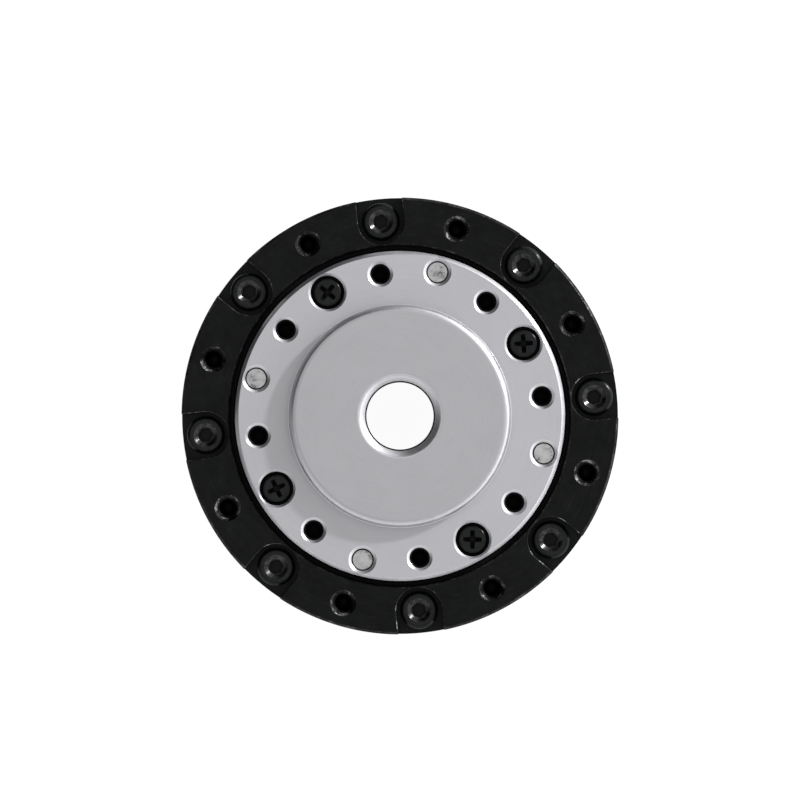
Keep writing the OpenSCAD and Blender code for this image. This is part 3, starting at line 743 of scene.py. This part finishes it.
def make_output_flange():
    face, top, boss_r, flange_r, bevel = FLANGE_FACE, FLANGE_TOP, 16.75, 24.9, 0.54
    seat_r, relief_r = 2.56, 1.68
    flange = turned("output_flange", [
        (10.52, 25.6), (24.12, 25.6), (flange_r, 26.38), (flange_r, face - bevel, 0.05),
        (flange_r - bevel, face, 0.05), (boss_r, face, 0.12), (boss_r, top, 1.2), (6.2, top, 1.0),
        (BORE_R, top - 0.81, 0.05), (BORE_R, 29.5), (7.8, 29.5), (7.8, 28.8), (9.5, 28.8), (9.5, 26.4),
        (10.52, 26.4)])
    tapped = thread("tapped", TAP_R, 6, 0.40, slope=0.80)
    combine(flange, copies(tapped, 8, FLANGE_CIRCLE, TAPPED_START, face))
    seat = turned("counterbore", [
        (0, 24), (1.35, 24), (1.35, SCREW_SEAT), (seat_r, SCREW_SEAT), (seat_r, face - 0.34),
        (seat_r + 0.74, face + 0.4), (0, face + 0.4)], 56)
    combine(flange, copies(seat, 4, FLANGE_CIRCLE, SCREW_START))
    relief = turned("dowel_relief", [
        (0, 24), (1.56, 24), (1.56, face - 1.2), (relief_r, face - 1.2), (relief_r, face - 0.38),
        (relief_r + 0.90, face + 0.4), (0, face + 0.4)], 56)
    combine(flange, copies(relief, 4, DOWEL_CIRCLE, DOWEL_START))
    combine(flange, copies(bore("pin_hole", PIN_HOLE_R, 24, 28.6), 8, PIN_CIRCLE, PIN_START))

    def in_a_hole(f, slack=0.006):
        return height_of(f) < face - 0.01 and (
            off_hole(f, 8, FLANGE_CIRCLE, TAPPED_START) < TAP_R + slack
            or off_hole(f, 4, FLANGE_CIRCLE, SCREW_START) < seat_r + slack
            or off_hole(f, 4, DOWEL_CIRCLE, DOWEL_START) < relief_r + slack)

    dress(flange, "output_flange", "output", "flange_aluminium", ALUMINIUM,
          (BOSS_FACE, lambda f: height_of(f) > top - 0.1),
          (BRIGHT_EDGE, lambda f: sloping(f) and height_of(f) > face - 1),
          # painted shade inside the tapped holes, counterbores and dowel reliefs
          (PAINTED_HOLE_SHADE, in_a_hole),
          # painted shade on the bore's wall
          (PAINTED_BORE_SHADE, in_the_bore))


def make_flange_screws():
    r, crown, height = 2.25, 0.62, 1.7
    corners = [(0, height), (0.7, height)]
    for k in range(9):
        a = radians(90 * k / 8)
        corners.append((r - crown + crown * sin(a), height - 0.06 - crown + crown * cos(a)))
    corners += [(r, 0, 0.06), (1.25, 0), (1.25, -7.8), (1.05, -8), (0, -8)]
    screw = turned("flange_screw", corners, 64)
    arm, half = 1.45, 0.37
    cross = []
    for k in range(4):
        a = radians(90 * k)
        for x, y in ((half, -half), (arm, -half * 0.84), (arm, half * 0.84)):
            cross.append((x * cos(a) - y * sin(a), x * sin(a) + y * cos(a)))
    recess = slab("recess", cross, 0.1, height + 0.4)
    tip = turned("driver_tip", [
        (0, 0.15), (0.72, 0.55), (1.42, height - 0.1), (1.56, height + 0.6), (0, height + 0.6)], 40)
    combine(recess, tip, "INTERSECT")
    combine(screw, recess)
    weld(screw)
    screws = copies(screw, 4, FLANGE_CIRCLE, SCREW_START, SCREW_SEAT, turns=(-2, 45, 20, -6))
    dress(screws, "flange_screws", "output", "black_oxide", OXIDE,
          # painted shade inside the cross recess
          (PAINTED_HOLE_SHADE, lambda f: off_hole(f, 4, FLANGE_CIRCLE, SCREW_START) < arm + 0.01
              and SCREW_SEAT + 0.1 < height_of(f) < SCREW_SEAT + height - 0.12))


def make_flange_dowels():
    top = FLANGE_FACE - 0.30
    dowel = turned("flange_dowel", [
        (0, 23.9), (1.3, 23.9), (1.5, 24.1), (1.5, top - 0.06), (1.44, top), (0, top)], 56)
    dress(copies(dowel, 4, DOWEL_CIRCLE, DOWEL_START), "flange_dowels", "output", "ground_steel", STEEL,
          # painted shade on the dowels' sides, in the gap round them
          (PAINTED_HOLE_SHADE, lambda f: abs(f.normal.z) < 0.5))


# ---------- rest of the housing ----------

def make_output_seal():
    seal = turned("output_seal", [
        (25.78, 28.1), (25.78, 30.1, 0.12), (25.21, 30.1, 0.1), (24.96, 29.9, 0.05), (25.2, 29.3),
        (25.2, 28.9), (24.96, 28.3), (25.2, 28.1)])
    dress(seal, "output_seal", "housing", "seal_rubber", RUBBER)


def make_ring_gear_housing():
    body = turned("ring_gear_housing", [
        (24.85, REAR_JOINT), (RIM, REAR_JOINT, 0.14), (RIM, FRONT_JOINT, 0.14), (27.0, FRONT_JOINT),
        (27.0, 23.1), (24.85, 23.1)])
    combine(body, copies(bore("pin_seat", PIN_HOLE_R, 6, 25, steps=32), 26, 25))
    combine(body, copies(bore("screw_hole", SCREW_HOLE_R, 6, 25, steps=40), SCREWS, BOLT_CIRCLE))
    dowel_hole = bore("dowel_hole", DOWEL_HOLE_R, 6, 10.5, steps=32)
    combine(body, copies(dowel_hole, 2, BOLT_CIRCLE, HOUSING_DOWEL_START))
    dress(body, "ring_gear_housing", "housing", "housing_black", ANODISED,
          (RIM_EDGE, lambda f: sloping(f) and reach_of(f) > RIM - 0.3))


def thread_from_below(name, depth):
    """A tapped hole's room, turned over to open downwards."""
    hole = thread(name, TAP_R, depth, 0.38)
    choose(hole)
    bpy.ops.transform.rotate(value=pi, orient_axis="X", center_override=(0, 0, 0))
    bpy.ops.object.transform_apply(location=True, rotation=True, scale=True)
    return hole


def make_rear_cover():
    cover = turned("rear_cover", [
        (23, 0, 0.12), (RIM - 0.4, 0, 0.06), (RIM, 0.4, 0.06), (RIM, REAR_JOINT, 0.14),
        (10.52, REAR_JOINT, 0.1), (10.52, 3.2), (9.2, 3.2), (9.2, PILOT_FLOOR, 0.08), (23, PILOT_FLOOR)])
    combine(cover, copies(thread_from_below("tapped", 5), SCREWS, REAR_CIRCLE, 22.5))
    combine(cover, copies(thread_from_below("motor_hole", 4), 4, MOTOR_CIRCLE, 45, PILOT_FLOOR))
    combine(cover, copies(bore("screw_thread", TAP_R, 4.0, 9, steps=40), SCREWS, BOLT_CIRCLE))
    dowel_hole = bore("dowel_hole", DOWEL_HOLE_R, 4.5, 9, steps=32)
    combine(cover, copies(dowel_hole, 2, BOLT_CIRCLE, HOUSING_DOWEL_START))
    dress(cover, "rear_cover", "housing", "housing_black", ANODISED,
          (WORN_MOUTH, lambda f: sloping(f) and height_of(f) < PILOT_FLOOR + 0.5),
          (RIM_EDGE, lambda f: sloping(f) and reach_of(f) > RIM - 0.5))


def make_input_seal():
    seal = turned("input_seal", [
        (9.18, PILOT_FLOOR, 0.08), (9.18, 3.2), (8.06, 3.2), (7.56, 3.08, 0.03), (8.06, 2.72),
        (8.06, 2.48), (7.56, 2.12, 0.03), (8.06, PILOT_FLOOR, 0.05)], 128)
    dress(seal, "input_seal", "housing", "seal_rubber", RUBBER)


# ---------- shaft ----------

def make_eccentric_shaft():
    r, nose, tail, throw = 7.5, 2.1, 29.2, 0.6
    shaft = turned("eccentric_shaft", [
        (BORE_R, nose, 0.12), (r, nose, 0.15), (r, 15.7), (9.3, 15.7), (9.3, 16.2), (r, 16.2),
        (r, tail, 0.15), (BORE_R, tail, 0.12)], 160)
    for low, side in ((10.7, throw), (16.2, -throw)):
        lobe = turned("eccentric", [(6.0, low), (8.5, low), (8.5, low + 5), (6.0, low + 5)], 160)
        combine(shaft, moved(lobe, x=side), "UNION")
    slot = slab("drive_slot", [(-12, -1.5), (12, -1.5), (12, 1.5), (-12, 1.5)], 1, nose + 1.5)
    combine(shaft, slot)
    dress(shaft, "eccentric_shaft", "input_shaft", "machined_steel", FINISHES["machined_steel"],
          # painted shade on the bore's wall
          (PAINTED_BORE_SHADE, in_the_bore))


make_front_ring()
make_housing_screws()
make_output_flange()
make_flange_screws()
make_flange_dowels()
make_output_seal()
make_ring_gear_housing()
make_rear_cover()
make_input_seal()
make_eccentric_shaft()

# ---------- pieces that keep their CAD shape ----------

for part in frame["record"]["subparts"]:
    node = frame["nodes"][part["node"]]
    node.data.materials.clear()
    node.data.materials.append(FINISHES[part["material_slot"]])

bpy.context.scene.view_settings.view_transform = "Standard"
clear_selection()
